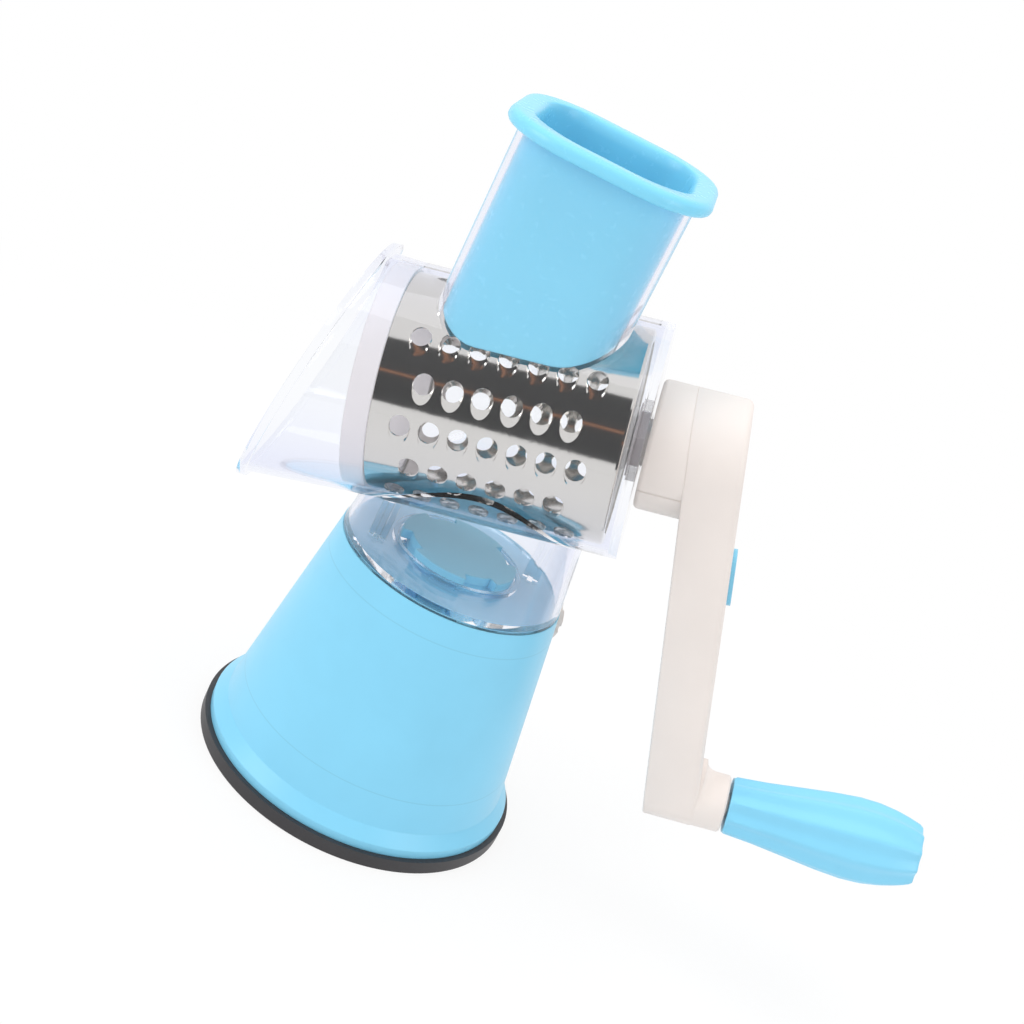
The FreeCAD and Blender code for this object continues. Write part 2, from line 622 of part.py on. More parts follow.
def drum_sleeve():
    """Stainless grating sleeve: staggered rows of holes on its flats, each with its raised cutting lip."""
    blank = flat_sided(DRUM_RADIUS, 2 * HOLE_ROWS, DRUM_LEFT, DRUM_RIGHT, FIRST_ROW_ANGLE)
    corner = HOLE_RADIUS / math.cos(math.pi / HOLE_SIDES)
    depth = TOOTH_HEIGHT + OVERCUT
    hole = bar(HOLE_SIDES, corner, DRUM_RADIUS - depth, DRUM_RADIUS + depth, -AXIS_Y)
    lip = tooth_lip()
    lips = []
    holes = []
    for row in range(HOLE_ROWS):
        long_row = row % 2 == 0
        count = HOLES_LONG_ROW if long_row else HOLES_LONG_ROW - 1
        first = HOLE_FIRST if long_row else HOLE_FIRST + HOLE_PITCH / 2
        angle = FIRST_ROW_ANGLE + 360.0 * row / HOLE_ROWS
        for k in range(count):
            shift = AXIS_X * (first + k * HOLE_PITCH)
            for source, target in ((lip, lips), (hole, holes)):
                piece = turned(source, -angle, AXIS_X)
                piece.translate(shift)
                target.append(piece)
    body = blank.multiFuse(lips)
    body = body.cut(Part.makeCompound(holes))
    for radius, low, high in ((DRUM_RADIUS - DRUM_SHEET, DRUM_LEFT - OVERCUT, DRUM_RIGHT - DRUM_SHEET),
                              (DRUM_RADIUS - DRUM_END_RIM, DRUM_RIGHT - 2 * DRUM_SHEET, DRUM_RIGHT + OVERCUT)):
        body = body.cut(flat_sided(radius, 2 * HOLE_ROWS, low, high, FIRST_ROW_ANGLE))
    return on_drum_axis(body)


def drum_ring():
    """White plastic ring on the drum's open end, with a lip that sits inside the sleeve."""
    inner = DRUM_RING_RADIUS - DRUM_RING_WALL
    seat = DRUM_RADIUS - DRUM_SHEET
    return on_drum_axis(revolved([
        (inner, DRUM_RING_LEFT), (DRUM_RING_RADIUS, DRUM_RING_LEFT), (DRUM_RING_RADIUS, DRUM_LEFT),
        (seat, DRUM_LEFT), (seat, DRUM_LEFT + DRUM_RING_LIP), (inner, DRUM_LEFT + DRUM_RING_LIP)],
        ORIGIN, AXIS_X))


def drum_hub():
    """White plastic end of the drum: a ribbed disc with the square socket of the drive shaft."""
    seat = DRUM_RADIUS - DRUM_SHEET
    disc_high = DRUM_RIGHT - DRUM_SHEET
    disc_low = disc_high - HUB_DISC
    disc = cylinder(seat, disc_low, disc_high, AXIS_X)
    socket_low = disc_high - HUB_SOCKET_LENGTH
    socket_high = disc_high + HUB_SOCKET_PROUD
    socket = bar(6, HUB_SOCKET_RADIUS, socket_low, socket_high, AXIS_X)
    corner = V(disc_low - HUB_RIB_HEIGHT, -HUB_RIB_WIDTH / 2, HUB_SOCKET_RADIUS - HUB_DISC)
    rib = Part.makeBox(HUB_RIB_HEIGHT + OVERCUT, HUB_RIB_WIDTH, seat - HUB_SOCKET_RADIUS, corner)
    body = joined([disc, socket] + ring_of(rib, HUB_RIBS, AXIS_X))
    hole = square_bar(SHAFT_SQUARE + 2 * RUNNING_FIT, socket_low + HUB_SOCKET_FLOOR, socket_high + OVERCUT)
    return on_drum_axis(body.cut(hole))


def pusher():
    """Blue hollow pusher: open cup with a rounded rim and a floor that follows the drum."""
    half_x = CHUTE_HALF_X - HEAD_WALL - SLIDE_GAP
    half_y = CHUTE_HALF_Y - HEAD_WALL - SLIDE_GAP
    corner = CHUTE_CORNER - HEAD_WALL - SLIDE_GAP
    low = AXIS_HEIGHT
    rim_top = CHUTE_TOP + PUSHER_RIM_HEIGHT

    def prism(inset, high):
        """The rounded prism of the cup's wall."""
        frame = rounded_frame(half_x - inset, half_y - inset, corner - inset, low, CHUTE_X)
        return Part.Face(frame).extrude(AXIS_Z * (high - low))

    rim = Part.Face(rounded_frame(PUSHER_RIM_X, PUSHER_RIM_Y, PUSHER_RIM_CORNER, CHUTE_TOP, CHUTE_X))
    rim = rim.extrude(AXIS_Z * PUSHER_RIM_HEIGHT)
    outer_edges = [e for e in rim.Edges if e.BoundBox.ZMax - e.BoundBox.ZMin < EDGE_FLAT]
    rim = rim.makeChamfer(PUSHER_RIM_ROUND, outer_edges)
    reach = 2 * PUSHER_RIM_X
    over_drum = DRUM_RADIUS + PUSHER_DRUM_GAP
    drum_space = on_drum_axis(cylinder(over_drum, -reach, reach, AXIS_X))
    floor_space = on_drum_axis(cylinder(over_drum + PUSHER_FLOOR, -reach, reach, AXIS_X))
    body = joined([prism(0.0, CHUTE_TOP + OVERCUT), rim]).cut(drum_space)
    body = body.cut(prism(PUSHER_WALL, rim_top).cut(floor_space))
    mouth = [e for e in body.Edges if e.BoundBox.ZMin > rim_top - EDGE_FLAT
             and e.BoundBox.YMax < half_y and e.BoundBox.YMin > -half_y
             and e.BoundBox.XMin > CHUTE_X - half_x and e.BoundBox.XMax < CHUTE_X + half_x]
    return body.makeChamfer(PUSHER_MOUTH_ROUND, mouth)


def capsule(radius_hub, radius_end, low, high):
    """The crank arm's tapered outline, extruded along the drum axis: round ends at hub and grip."""
    spread = math.asin((radius_hub - radius_end) / ARM_LENGTH)
    side = math.cos(spread)
    rise = math.sin(spread)
    hub_left = V(low, -radius_hub * side, -radius_hub * rise)
    hub_right = V(low, radius_hub * side, -radius_hub * rise)
    end_right = V(low, radius_end * side, -ARM_LENGTH - radius_end * rise)
    end_left = V(low, -radius_end * side, -ARM_LENGTH - radius_end * rise)
    hub_arc = Part.Arc(hub_left, V(low, 0, radius_hub), hub_right).toShape()
    end_arc = Part.Arc(end_right, V(low, 0, -ARM_LENGTH - radius_end), end_left).toShape()
    wire = Part.Wire([hub_arc, Part.makeLine(hub_right, end_right), end_arc, Part.makeLine(end_left, hub_left)])
    return Part.Face(wire).extrude(AXIS_X * (high - low))


def leaning_slab(inner, outer):
    """The space between the arm's inner and outer faces, which lean away from the head."""
    down = 1.5 * ARM_LENGTH
    up = 2 * HUB_RADIUS
    side = -up
    corners = [V(inner - ARM_LEAN * up, side, up), V(outer - ARM_LEAN * up, side, up),
               V(outer + ARM_LEAN * down, side, -down), V(inner + ARM_LEAN * down, side, -down)]
    return Part.Face(Part.makePolygon(corners + [corners[0]])).extrude(AXIS_Y * (2 * up))


GRIP_AXIS = V(0, 0, -ARM_LENGTH)
OUTER_NORMAL = V(1, 0, ARM_LEAN).normalize()
BUTTON_CENTRE = V(ARM_OUTER_AT_HUB + ARM_LEAN * BUTTON_AT, 0, -BUTTON_AT)


def at_button(shape):
    """Moves a shape drawn along X to the button's place on the leaning outer face."""
    moved = shape.copy()
    place = FreeCAD.Placement(BUTTON_CENTRE, FreeCAD.Rotation(AXIS_X, OUTER_NORMAL))
    moved.Placement = place.multiply(shape.Placement)
    return moved


def button_outline(inset, low, high):
    """The release button's oval, standing on the arm's leaning outer face."""
    half_length = BUTTON_HALF_LENGTH - inset
    radius = BUTTON_HALF_WIDTH - inset
    straight = half_length - radius
    wire = Part.Wire([
        Part.makeLine(V(low, -radius, -straight), V(low, -radius, straight)),
        Part.Arc(V(low, -radius, straight), V(low, 0, half_length), V(low, radius, straight)).toShape(),
        Part.makeLine(V(low, radius, straight), V(low, radius, -straight)),
        Part.Arc(V(low, radius, -straight), V(low, 0, -half_length), V(low, -radius, -straight)).toShape()])
    return at_button(Part.Face(wire).extrude(AXIS_X * (high - low)))


def crank_arm():
    """Off-white outer half of the crank: hollow leaning arm with the stub that carries the grip."""
    outer = capsule(HUB_RADIUS, ARM_END_RADIUS, HUB_START, GRIP_END)
    outer = outer.common(leaning_slab(ARM_INNER_AT_HUB, ARM_OUTER_AT_HUB))
    inner = capsule(HUB_RADIUS - ARM_WALL, ARM_END_RADIUS - ARM_WALL, HUB_START, GRIP_END)
    cavity = inner.common(leaning_slab(ARM_INNER_AT_HUB - OVERCUT, ARM_OUTER_AT_HUB - ARM_WALL))
    stub_low = ARM_INNER_AT_HUB + ARM_LEAN * ARM_LENGTH + STUB_ROOM
    stub = cylinder(STUB_RADIUS, stub_low, STUB_END, AXIS_X, GRIP_AXIS)
    body = joined([outer.cut(cavity), stub])
    wall_at_hub = ARM_OUTER_AT_HUB - ARM_WALL
    posts = [bar(6, SCREW_POST_RADIUS, HUB_POST_END + RUNNING_FIT, wall_at_hub + OVERCUT, AXIS_X)]
    for reach in ARM_POSTS:
        begin = ARM_INNER_AT_HUB + BACK_PLATE + ARM_LEAN * (reach + ARM_POST_RADIUS) + FREE_GAP
        end = wall_at_hub + ARM_LEAN * reach + OVERCUT
        posts.append(bar(6, ARM_POST_RADIUS, begin, end, AXIS_X, V(0, 0, -reach)))
    body = joined([body] + posts)
    body = body.cut(cylinder(SPINDLE_RADIUS, stub_low - OVERCUT, STUB_END + OVERCUT, AXIS_X, GRIP_AXIS))
    body = body.cut(bar(6, HUB_SCREW_RADIUS, HUB_POST_END - OVERCUT, HUB_SCREW_END, AXIS_X))
    body = body.cut(button_outline(-FREE_GAP, -ARM_WALL - OVERCUT, BUTTON_PROUD + OVERCUT))
    return on_drum_axis(body)


def crank_back():
    """Off-white inner half of the crank: cover plate of the arm with the round hub boss."""
    inset = ARM_WALL + COVER_GAP
    cover = capsule(HUB_RADIUS - inset, ARM_END_RADIUS - inset, HUB_START, GRIP_END)
    cover = cover.common(leaning_slab(ARM_INNER_AT_HUB, ARM_INNER_AT_HUB + BACK_PLATE))
    boss = cylinder(HUB_RADIUS, HUB_START, ARM_OUTER_AT_HUB, AXIS_X)
    boss = boss.cut(leaning_slab(ARM_INNER_AT_HUB, 2 * ARM_OUTER_AT_HUB))
    cup = cylinder(HUB_RADIUS - HUB_CUP_WALL, HUB_START + HUB_CUP_FLOOR, ARM_OUTER_AT_HUB, AXIS_X)
    post = bar(6, HUB_POST_RADIUS, HUB_START + OVERCUT, HUB_POST_END, AXIS_X)
    body = joined([joined([boss, cover]).cut(cup), post])
    body = body.cut(cylinder(BUSH_BORE, HUB_START - OVERCUT, HUB_START + SHAFT_SEAT, AXIS_X))
    body = body.cut(bar(6, HUB_SCREW_RADIUS, HUB_START, HUB_POST_END + OVERCUT, AXIS_X))
    parting = Part.makeBox(PARTING_LENGTH, PARTING_DEPTH, PARTING_WIDTH,
                           V(HUB_START - OVERCUT, -HUB_RADIUS - PARTING_DEPTH / 2, -PARTING_WIDTH / 2))
    parting.rotate(ORIGIN, AXIS_X, PARTING_ANGLE)
    return on_drum_axis(body.cut(parting))


def drive_shaft():
    """Steel drive shaft: round journal through the bush into the hub, square end in the drum."""
    journal_low = DRUM_RIGHT + SHAFT_GAP
    journal_high = HUB_START + SHAFT_SEAT
    journal = cylinder(BUSH_BORE, journal_low, journal_high, AXIS_X)
    square_low = DRUM_RIGHT - HUB_SOCKET_LENGTH + HUB_SOCKET_FLOOR + SHAFT_GAP
    square = square_bar(SHAFT_SQUARE, square_low, journal_low)
    bore = bar(6, HUB_SCREW_RADIUS, journal_high - HUB_SCREW_GRIP, journal_high + OVERCUT, AXIS_X)
    return on_drum_axis(joined([journal, square]).cut(bore))


def hub_screw():
    """Steel screw through the crank into the drive shaft."""
    low = HUB_START + SHAFT_SEAT - HUB_SCREW_GRIP + RUNNING_FIT
    return on_drum_axis(bar(6, HUB_SCREW_RADIUS, low, HUB_SCREW_END - RUNNING_FIT, AXIS_X))


def release_button():
    """Blue oval button on the arm's outer face, with the pin that its spring sits on."""
    cap = button_outline(0.0, -BUTTON_THICKNESS, BUTTON_PROUD)
    pin_low = -BUTTON_THICKNESS - BUTTON_PIN_LENGTH
    pin = bar(6, BUTTON_PIN_RADIUS, pin_low, -BUTTON_THICKNESS + OVERCUT, AXIS_X)
    return on_drum_axis(joined([cap, at_button(pin)]))


def flat_coil(radius, wire, length, turns, steps):
    """A coil spring made of straight pieces with a square wire section, wound along +Z."""
    rings = []
    for k in range(turns * steps + 1):
        angle = 2.0 * math.pi * k / steps
        rise = wire + (length - 2.0 * wire) * k / (turns * steps)
        ring = []
        for out, up in ((-wire, -wire), (wire, -wire), (wire, wire), (-wire, wire)):
            ring.append(V((radius + out) * math.cos(angle), (radius + out) * math.sin(angle), rise + up))
        rings.append(ring)
    faces = [Part.Face(Part.makePolygon(ring + [ring[0]])) for ring in (rings[0], rings[-1])]
    for near, far in zip(rings, rings[1:]):
        for a in range(4):
            b = (a + 1) % 4
            faces.append(Part.Face(Part.makePolygon([near[a], near[b], far[b], near[a]])))
            faces.append(Part.Face(Part.makePolygon([near[a], far[b], far[a], near[a]])))
    return Part.Solid(Part.Shell(faces))


def button_spring():
    """Coil spring between the button and the arm's cover plate."""
    room = (ARM_OUTER_AT_HUB - ARM_INNER_AT_HUB - BACK_PLATE) * OUTER_NORMAL.x - BUTTON_THICKNESS
    coil = flat_coil(SPRING_RADIUS, SPRING_WIRE, room - 2 * SPRING_GAP, SPRING_TURNS, SPRING_STEPS)
    coil.rotate(ORIGIN, AXIS_Y, -90)
    coil.translate(V(-BUTTON_THICKNESS - SPRING_GAP, 0, 0))
    return on_drum_axis(at_button(coil))


def grip_spindle():
    """Steel pin pressed into the stub, with the head that keeps the grip on."""
    rod_high = GRIP_BELLY_AT + SPINDLE_BEYOND_BELLY
    rod = cylinder(SPINDLE_RADIUS, SPINDLE_START, rod_high, AXIS_X, GRIP_AXIS)
    head_disc = bar(6, SPINDLE_HEAD_RADIUS, rod_high, rod_high + SPINDLE_HEAD, AXIS_X, GRIP_AXIS)
    return on_drum_axis(joined([rod, head_disc]))


def grip():
    """Blue hand grip: slim neck, full belly, rounded shoulder and shallow flutes along it."""
    bore = SPINDLE_RADIUS + RUNNING_FIT
    head_room = GRIP_BELLY_AT + SPINDLE_BEYOND_BELLY - KNOB_GAP
    pocket = SPINDLE_HEAD_RADIUS + OVERCUT
    outline = [(GRIP_NECK_RADIUS, GRIP_START)] + [(radius, s) for s, radius in GRIP_OUTLINE]
    inside = [(pocket, GRIP_END), (pocket, head_room), (bore, head_room), (bore, GRIP_START)]
    body = revolved(outline + inside, GRIP_AXIS, AXIS_X)
    slope = math.atan((GRIP_BELLY_RADIUS - GRIP_NECK_RADIUS) / (GRIP_BELLY_AT - GRIP_START))
    offset = GRIP_NECK_RADIUS + GRIP_FLUTE_RADIUS - GRIP_FLUTE_DEPTH
    direction = V(math.cos(slope), 0, math.sin(slope))
    start = V(GRIP_START - OVERCUT, 0, offset)
    flute = Part.makeCylinder(GRIP_FLUTE_RADIUS, GRIP_END - GRIP_START + 4 * OVERCUT, start, direction)
    flutes = ring_of(flute, GRIP_FLUTES, AXIS_X, 180.0 / GRIP_FLUTES)
    for cutter in flutes:
        cutter.translate(GRIP_AXIS)
    return on_drum_axis(body.cut(Part.makeCompound(flutes)))


def grip_cap():
    """Blue end plug that closes the grip over the spindle head."""
    plug = SPINDLE_HEAD_RADIUS + OVERCUT - RUNNING_FIT
    low = GRIP_END - CAP_PLUG
    high = GRIP_END + CAP_HEIGHT
    return on_drum_axis(revolved([
        (0, low), (plug, low), (plug, GRIP_END), (CAP_RADIUS, GRIP_END), (CAP_RADIUS, high), (0, high)],
        GRIP_AXIS, AXIS_X))


PIECES = (
    suction_pad, base_shell, suction_stem, cam_shaft, suction_knob, knob_screw, stem_guide, guide_screws,
    head, shaft_bush, drum_sleeve, drum_ring, drum_hub, pusher, crank_arm, crank_back, drive_shaft,
    hub_screw, release_button, button_spring, grip_spindle, grip, grip_cap,
)

os.makedirs("parts", exist_ok=True)
for make in PIECES:
    make().exportStep("parts/" + make.__name__ + ".step")
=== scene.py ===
"""Looks of the rotary drum shredder: finishes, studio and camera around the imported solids."""
import math

import bmesh
import bpy
from mathutils import Matrix, Vector


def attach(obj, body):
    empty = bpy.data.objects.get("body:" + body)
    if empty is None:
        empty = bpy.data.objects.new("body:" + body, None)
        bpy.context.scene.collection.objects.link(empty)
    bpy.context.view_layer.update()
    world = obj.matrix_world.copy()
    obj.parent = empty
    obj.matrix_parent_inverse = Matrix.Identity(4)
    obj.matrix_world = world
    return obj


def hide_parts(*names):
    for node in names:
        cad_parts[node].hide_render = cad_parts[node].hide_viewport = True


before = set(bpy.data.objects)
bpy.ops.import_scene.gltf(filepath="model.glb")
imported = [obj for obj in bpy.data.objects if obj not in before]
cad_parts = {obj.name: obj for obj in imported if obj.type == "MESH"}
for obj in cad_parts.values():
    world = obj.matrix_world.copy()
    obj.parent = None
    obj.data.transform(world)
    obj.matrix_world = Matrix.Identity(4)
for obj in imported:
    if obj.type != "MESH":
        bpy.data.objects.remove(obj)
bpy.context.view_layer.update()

# Camera fitted to the photograph: millimetres and degrees
IMAGE_SIZE = 1024
SENSOR = 36.0
CAMERA_AZIMUTH = -0.19
CAMERA_ELEVATION = 22.83
CAMERA_ROLL = 27.12
CAMERA_DISTANCE = 560.0
CAMERA_FOCAL_PIXELS = 1621.0
CAMERA_TARGET = Vector((0.0, 0.0, 110.0))
CAMERA_SHIFT = (-12.1, -1.27)
MILLIMETRE = 0.001

# Sizes of the pieces that are made here, millimetres and degrees
TILT = math.radians(13.6)
AXIS_HEIGHT = 152.2
DRUM_RADIUS = 37.0
DRUM_SHEET = 0.6
DRUM_LEFT = -45.9
DRUM_RIGHT = 34.9
HOLE_ROWS = 16
FIRST_ROW_ANGLE = -3.0
HOLE_RADIUS = 3.4
HOLE_PITCH = 9.6
HOLE_FIRST = -35.6
HOLES_LONG_ROW = 7
LIP_HALF_WIDTH = 3.62
LIP_LENGTH = 6.7
LIP_HEIGHT = 1.6
LIP_RISE = 1.8
CELL_STEPS = 8
SLEEVE_RIM = 4.0
SLEEVE_BEND = 1.0
CHUTE_X = -12.0
CHUTE_TOP = 239.7
CUP_HALF_X = 27.65
CUP_HALF_Y = 28.95
CUP_CORNER = 15.55
CUP_WALL = 2.0
CUP_RIM_X = 34.9
CUP_RIM_CORNER = 24.0
CUP_RIM_TOP = 244.55
CUP_RIM_LOW_ROUND = 2.0
CUP_RIM_SHOULDER = (2.8, 2.6)
CUP_MOUTH = 2.6
CUP_MOUTH_DEPTH = 5.0
CUP_MOUTH_CORNER = 2.6
CUP_DRUM_GAP = 2.2
CUP_FLOOR = 2.6
GRIP_RADIUS_FROM_AXIS = 125.5
GRIP_START = 100.3
GRIP_END = 168.8
GRIP_FLUTES = 10
GRIP_FLUTE_DEPTH = 1.25
GRIP_END_FACE = 8.6
GRIP_END_MIDDLE = 0.1
GRIP_BORE = 4.2
HUB_RADIUS = 22.2
HUB_START = 41.4
HUB_ROUND = 1.8
HUB_SOCKET = 3.0
HUB_SINK = 0.3
HUB_CORE = 4.0
SHAFT_RADIUS = 8.1
ARM_LENGTH = 125.5
ARM_END_RADIUS = 10.6
ARM_INNER = 55.3
ARM_OUTER = 74.4
ARM_LEAN = 0.12
ARM_WALL = 2.4
ARM_ROUND = 2.2
STUB_RADIUS = 10.4
STUB_END = 99.2
STUB_FILLET = 4.6
BUTTON_AT = 39.5
BUTTON_HALF_LENGTH = 10.4
BUTTON_HALF_WIDTH = 7.4
BACK_PLATE_GAP = 0.35
PARTING_ANGLE = 27.0
PARTING_DEPTH = 0.35
PARTING_FLOOR = 0.006
PARTING_MOUTH = 0.016

# How finely the pieces are divided: steps in each turn, and rings of the cup's floor as shares of its width
CORNER_STEPS = 9
HALF_TURN_STEPS = 28
ROUND_STEPS = 64
HUB_STEPS = 96
FLOOR_SHARES = (0.02, 0.3, 0.6, 0.85, 1.0)

# Detail of the materials, metres: the base shell's parting lines, rounding of edges and depth of the grain
SHELL_SEAMS = (0.0810, 0.0242)
SEAM_HALF_WIDTH = 0.00022
PLASTIC_EDGE = 0.0006
PLASTIC_GRAIN = 0.00006

# Plastic and metal colours, linear
LIGHT_BLUE = (0.235, 0.640, 0.875)
# The pusher's blue is a lighter copy of the light blue: painted light, standing in for light that passes
# through its thin walls
LIGHT_BLUE_PAINTED_LIGHTER = (0.265, 0.750, 0.980)
LIGHT_BLUE_GLOW = (0.180, 0.780, 1.000)
OFF_WHITE = (0.815, 0.745, 0.705)
RING_WHITE = (0.900, 0.855, 0.870)
PLAIN_WHITE = (0.780, 0.770, 0.760)
RUBBER_BLACK = (0.030, 0.028, 0.031)
STAINLESS = (0.680, 0.655, 0.620)
TURNED_STEEL = (0.560, 0.550, 0.540)
SATIN_STEEL = (0.860, 0.850, 0.840)
MILKY_GLOW = (0.960, 0.950, 0.960)
CLEAR_PLASTIC = (0.965, 0.975, 0.995)
CLEAR_EDGE = (0.780, 0.800, 0.950)
DARK_ROOM = (0.010, 0.010, 0.011)
BROWN_EDGE = (0.360, 0.150, 0.070)
TABLE_WHITE = (0.930, 0.930, 0.930)
PURE_WHITE = (1.000, 1.000, 1.000)


class Value:
    """A socket of a shader node that takes part in sums written as Python expressions."""

    def __init__(self, made, socket):
        self.made = made
        self.socket = socket

    def _with(self, operation, first, second):
        return self.made.node("ShaderNodeMath", {"operation": operation}, {0: first, 1: second})

    def __add__(self, other):
        return self._with("ADD", self, other)

    def __radd__(self, other):
        return self._with("ADD", other, self)

    def __sub__(self, other):
        return self._with("SUBTRACT", self, other)

    def __rsub__(self, other):
        return self._with("SUBTRACT", other, self)

    def __mul__(self, other):
        return self._with("MULTIPLY", self, other)

    def __rmul__(self, other):
        return self._with("MULTIPLY", other, self)

    def __mod__(self, other):
        return self._with("MODULO", self, other)

    def __abs__(self):
        return self._with("ABSOLUTE", self, 0.0)

    def at_most_one(self, other):
        """The sum with another value, held between 0 and 1."""
        return self.made.node("ShaderNodeMath", {"operation": "ADD", "use_clamp": True}, {0: self, 1: other})

    def below(self, limit):
        """1 where the value is under the limit, 0 elsewhere."""
        return self._with("LESS_THAN", self, limit)


class Finish:
    """A material and the one way in which its nodes are added."""

    def __init__(self, name, holder=None):
        self.material = holder or bpy.data.materials.new(name)
        self.material.use_nodes = True
        self.tree = self.material.node_tree
        self.tree.nodes.clear()

    def node(self, kind, settings=None, values=None, output=0):
        """Adds a node: its settings first, then the values or links of its sockets."""
        made = self.tree.nodes.new(kind)
        for key, setting in (settings or {}).items():
            setattr(made, key, setting)
        for key, value in (values or {}).items():
            if isinstance(value, Value):
                self.tree.links.new(value.socket, made.inputs[key])
            else:
                made.inputs[key].default_value = value
        return Value(self, made.outputs[output])

    def place(self):
        """The object's own coordinates in metres, the same in every view."""
        return self.node("ShaderNodeTexCoord", output="Object")

    def height(self):
        """Height over the object's origin in metres."""
        return self.node("ShaderNodeSeparateXYZ", None, {"Vector": self.place()}, "Z")

    def noise(self, scale, detail=3.0):
        """Cloudy variation over the piece; the scale is in clouds per metre."""
        return self.node("ShaderNodeTexNoise", None, {
            "Vector": self.place(), "Scale": scale, "Detail": detail, "Roughness": 0.55})

    def rays(self, question):
        """What the renderer knows about the ray that meets the surface."""
        return self.node("ShaderNodeLightPath", output=question)

    def mix(self, share, first, second):
        """A colour between two colours."""
        return self.node("ShaderNodeMix", {"data_type": "RGBA"}, {"Factor": share, 6: first, 7: second}, 2)

    def shader(self, **values):
        """The main surface shader with values for its named sockets."""
        sockets = {name.replace("_", " "): value for name, value in values.items()}
        return self.node("ShaderNodeBsdfPrincipled", None, sockets)

    def finish(self, surface, output_kind="ShaderNodeOutputMaterial"):
        """Links the surface to the output and gives back the material."""
        output = self.tree.nodes.new(output_kind)
        self.tree.links.new(surface.socket, output.inputs["Surface"])
        return self.material


def rgba(colour):
    """A colour as the nodes take it."""
    return (*colour, 1.0)


def shaded(colour, factor):
    """A colour made lighter or darker by a factor."""
    return tuple(min(1.0, part * factor) for part in colour)


def moulded_plastic(name, colour, roughness, seams=()):
    """Injection moulded plastic: faint clouds, fine sheen grain, softened edges, and parting lines if any."""
    made = Finish(name)
    cloud = made.noise(38.0, 3.0)
    colour_mix = made.mix(cloud, rgba(shaded(colour, 0.95)), rgba(shaded(colour, 1.05)))
    sheen = made.noise(420.0, 2.0)
    waviness = made.noise(90.0, 1.0)
    soft_edge = made.node("ShaderNodeBevel", {"samples": 6}, {"Radius": PLASTIC_EDGE})
    relief = made.node("ShaderNodeBump", None, {
        "Strength": 0.35, "Distance": PLASTIC_GRAIN, "Height": waviness + 0.25 * sheen, "Normal": soft_edge})
    for height in seams:
        line = abs(made.height() - height).below(SEAM_HALF_WIDTH)
        colour_mix = made.mix(0.22 * line, colour_mix, rgba(shaded(colour, 0.62)))
    gloss = roughness - 0.05 + 0.1 * sheen
    return made.shader(Base_Color=colour_mix, Roughness=gloss, Normal=relief, IOR=1.49)


def let_light_through(shader, share, colour):
    """Thin plastic that also glows a little with the light from behind it."""
    made = shader.made
    glow = made.node("ShaderNodeBsdfTranslucent", None, {"Color": rgba(colour)})
    return made.node("ShaderNodeMixShader", None, {0: share, 1: shader, 2: glow})


def black_rubber():
    """Matt black rubber with a fine grain."""
    made = Finish("black rubber")
    grain = made.noise(900.0, 2.0)
    colour = made.mix(made.noise(60.0), rgba(shaded(RUBBER_BLACK, 0.8)), rgba(shaded(RUBBER_BLACK, 1.3)))
    relief = made.node("ShaderNodeBump", None, {"Strength": 0.3, "Distance": 0.0001, "Height": grain})
    return made.finish(made.shader(Base_Color=colour, Roughness=0.42 + 0.12 * grain, Normal=relief))


def polished_stainless():
    """Mirror-bright stainless sheet with faint rolling lines round the drum."""
    made = Finish("polished stainless sheet")
    stretched = made.node("ShaderNodeMapping", None, {"Vector": made.place(), "Scale": (900.0, 14.0, 14.0)})
    lines = made.node("ShaderNodeTexNoise", None, {"Vector": stretched, "Scale": 1.0, "Detail": 2.0})
    smudge = made.noise(45.0, 3.0)
    colour = made.mix(smudge, rgba(shaded(STAINLESS, 0.96)), rgba(shaded(STAINLESS, 1.04)))
    relief = made.node("ShaderNodeBump", None, {"Strength": 0.05, "Distance": 0.00002, "Height": lines})
    return made.finish(made.shader(
        Base_Color=colour, Metallic=1.0, Roughness=0.06 + 0.05 * smudge + 0.03 * lines, Normal=relief))


def turned_steel(name, colour, roughness):
    """Plain machined steel."""
    made = Finish(name)
    marks = made.noise(500.0, 2.0)
    tone = made.mix(marks, rgba(shaded(colour, 0.9)), rgba(shaded(colour, 1.1)))
    return made.finish(made.shader(Base_Color=tone, Metallic=1.0, Roughness=roughness + 0.12 * marks))


def clear_plastic():
    """Water-clear moulded plastic that bends light, with a lavender cast edge-on.

    Shadows, scattered light and what steel mirrors pass straight through, as do rays lost between its walls.
    """
    made = Finish("clear moulded plastic")
    facing = made.node("ShaderNodeLayerWeight", None, {"Blend": 0.5}, "Facing")
    ripple = made.noise(55.0, 2.0)
    relief = made.node("ShaderNodeBump", None, {"Strength": 0.12, "Distance": 0.0002, "Height": ripple})
    colour = made.mix(facing, rgba(CLEAR_PLASTIC), rgba(CLEAR_EDGE))
    bent = made.shader(
        Base_Color=colour, Roughness=0.02 + 0.03 * ripple, Normal=relief, Transmission_Weight=1.0, IOR=1.40)
    straight = made.node("ShaderNodeBsdfTransparent", None, {"Color": rgba((0.985, 0.988, 0.994))})
    shadow = made.rays("Is Shadow Ray")
    scattered = made.rays("Is Diffuse Ray")
    mirrored = made.rays("Is Reflection Ray")
    inside = made.rays("Transmission Depth") % 2.0
    outside = mirrored * (1.0 - inside)
    lost = 1.0 - made.rays("Ray Depth").below(4.5)
    plain = shadow.at_most_one(scattered + outside + lost)
    return made.finish(made.node("ShaderNodeMixShader", None, {0: plain, 1: bent, 2: straight}))


def background_rays(made):
    """Share of rays that see the background: the camera's, and those off metal or through clear parts."""
    camera = made.rays("Is Camera Ray")
    through = made.rays("Is Transmission Ray")
    mirrored = made.rays("Is Glossy Ray")
    return camera.at_most_one(through + mirrored)


